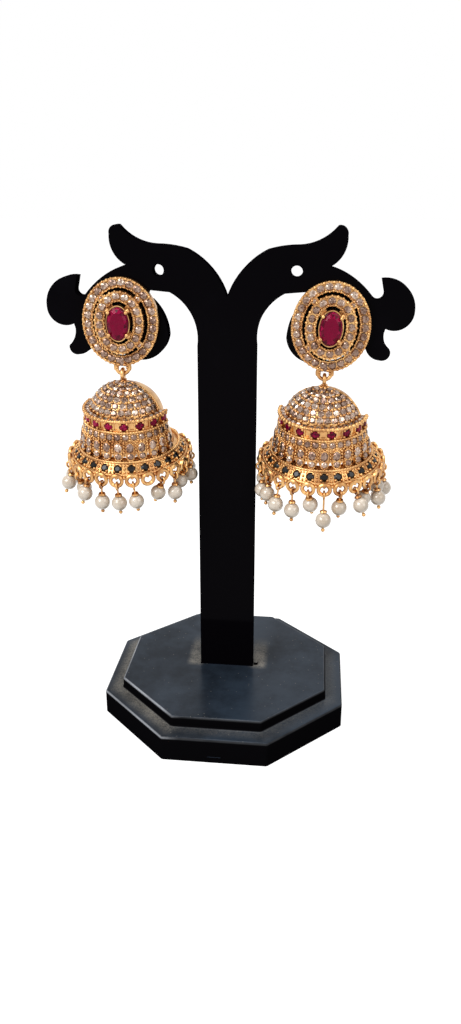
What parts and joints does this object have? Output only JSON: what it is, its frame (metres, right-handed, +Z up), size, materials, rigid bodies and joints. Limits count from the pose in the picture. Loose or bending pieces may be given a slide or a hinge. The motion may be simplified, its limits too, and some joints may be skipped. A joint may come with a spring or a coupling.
{
  "type": "pair of jhumka earrings on an earring display stand",
  "caption": "Pair of gold-tone jhumka earrings, bell drops with red, black and clear stones and a pearl fringe, hung on a black acrylic display stand.",
  "frame": {"origin": "middle of the underside of the stand's base", "axes": "+Z up along the upright, -Y towards the viewer that the earrings face, +X to that viewer's right"},
  "size_m": [0.0834, 0.0602, 0.1196],
  "materials": {
    "black_base": "moulded, slightly dusty",
    "black_acrylic": "polished",
    "gold": "gold plated, cast",
    "red_stone": "cut glass",
    "black_stone": "cut glass",
    "pearl": "pearl lustre",
    "clear_stone": "cut glass, foil backed"
  },
  "bodies": {
    "stand": {"stand_base": "black_base", "stand_plate": "black_acrylic", "left_stud_frame": "gold", "right_stud_frame": "gold", "left_back_nut": "gold", "right_back_nut": "gold", "left_centre_ruby": "red_stone", "right_centre_ruby": "red_stone"},
    "left_jhumka": {"left_bell": "gold", "left_ruby_stones": "red_stone", "left_black_stones": "black_stone", "left_pearl_pins": "gold", "left_pearls": "pearl"},
    "right_jhumka": {"right_bell": "gold", "right_ruby_stones": "red_stone", "right_black_stones": "black_stone", "right_pearl_pins": "gold", "right_pearls": "pearl"}
  },
  "joints": [
    {"name": "left_swing", "type": "hinge", "parent": "stand", "child": "left_jhumka", "pos_m": [-0.0242, -0.0028, 0.0864], "axis": [1, 0, 0], "range_deg": [-35, 35]},
    {"name": "right_swing", "type": "hinge", "parent": "stand", "child": "right_jhumka", "pos_m": [0.02247, -0.0028, 0.08614], "axis": [1, 0, 0], "range_deg": [-35, 35]}
  ]
}
